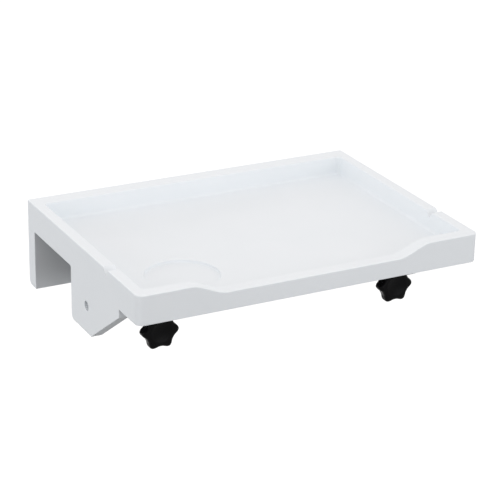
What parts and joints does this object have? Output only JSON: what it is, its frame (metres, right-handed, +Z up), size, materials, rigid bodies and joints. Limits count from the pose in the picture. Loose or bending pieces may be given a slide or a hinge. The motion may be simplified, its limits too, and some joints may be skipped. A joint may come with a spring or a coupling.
{
  "type": "clip-on bedside shelf",
  "caption": "Shallow white tray with a dipped front rail that hooks over a bed rail; star knobs drive padded clamp screws below.",
  "frame": {"origin": "middle of the rail seat, the part of the tray's underside between brackets and rear jaw that rests on the bed rail", "axes": "+X along the front to the right as seen by someone facing the knobs, +Y from the front towards the rear jaw, +Z up"},
  "size_m": [0.38, 0.28, 0.096],
  "materials": {
    "lacquered_board": "satin white lacquer on fibreboard",
    "beech_dowel": "turned beech",
    "zinc_plated_steel": "bright zinc plated",
    "brass": "turned brass",
    "black_knob": "moulded, fine matt texture",
    "pad_rubber": "moulded rubber"
  },
  "bodies": {
    "shelf": {"tray_floor": "lacquered_board", "front_rail": "lacquered_board", "side_left": "lacquered_board", "side_right": "lacquered_board", "rear_board": "lacquered_board", "clamp_beam": "lacquered_board", "corner_block_left": "lacquered_board", "corner_block_right": "lacquered_board", "bracket_screws": "zinc_plated_steel", "block_screws": "zinc_plated_steel", "front_dowels": "beech_dowel", "rear_dowels": "beech_dowel", "beam_dowels": "beech_dowel", "floor_dowels": "beech_dowel", "nut_insert_left": "brass", "nut_insert_right": "brass"},
    "left_pad": {"pad_cup_left": "black_knob", "pad_face_left": "pad_rubber"},
    "left_screw": {"clamp_rod_left": "zinc_plated_steel", "star_knob_left": "black_knob", "knob_bush_left": "brass", "thrust_washer_left": "zinc_plated_steel", "pad_clip_left": "zinc_plated_steel"},
    "right_pad": {"pad_cup_right": "black_knob", "pad_face_right": "pad_rubber"},
    "right_screw": {"clamp_rod_right": "zinc_plated_steel", "star_knob_right": "black_knob", "knob_bush_right": "brass", "thrust_washer_right": "zinc_plated_steel", "pad_clip_right": "zinc_plated_steel"}
  },
  "joints": [
    {"name": "left_pad_slide", "type": "slide", "parent": "shelf", "child": "left_pad", "axis": [0, 1, 0], "range_m": [-0.026, 0.0555]},
    {"name": "left_knob_turn", "type": "hinge", "parent": "left_pad", "child": "left_screw", "pos_m": [-0.1355, -0.0228, -0.0425], "axis": [0, 1, 0], "range_deg": [-7500, 16000]},
    {"name": "right_pad_slide", "type": "slide", "parent": "shelf", "child": "right_pad", "axis": [0, 1, 0], "range_m": [-0.026, 0.0555]},
    {"name": "right_knob_turn", "type": "hinge", "parent": "right_pad", "child": "right_screw", "pos_m": [0.1355, -0.0228, -0.0425], "axis": [0, 1, 0], "range_deg": [-7500, 16000]}
  ],
  "couplings": [
    {"joint": "left_knob_turn", "follows": "left_pad_slide", "rad_per_m": 5026.5},
    {"joint": "right_knob_turn", "follows": "right_pad_slide", "rad_per_m": 5026.5}
  ]
}
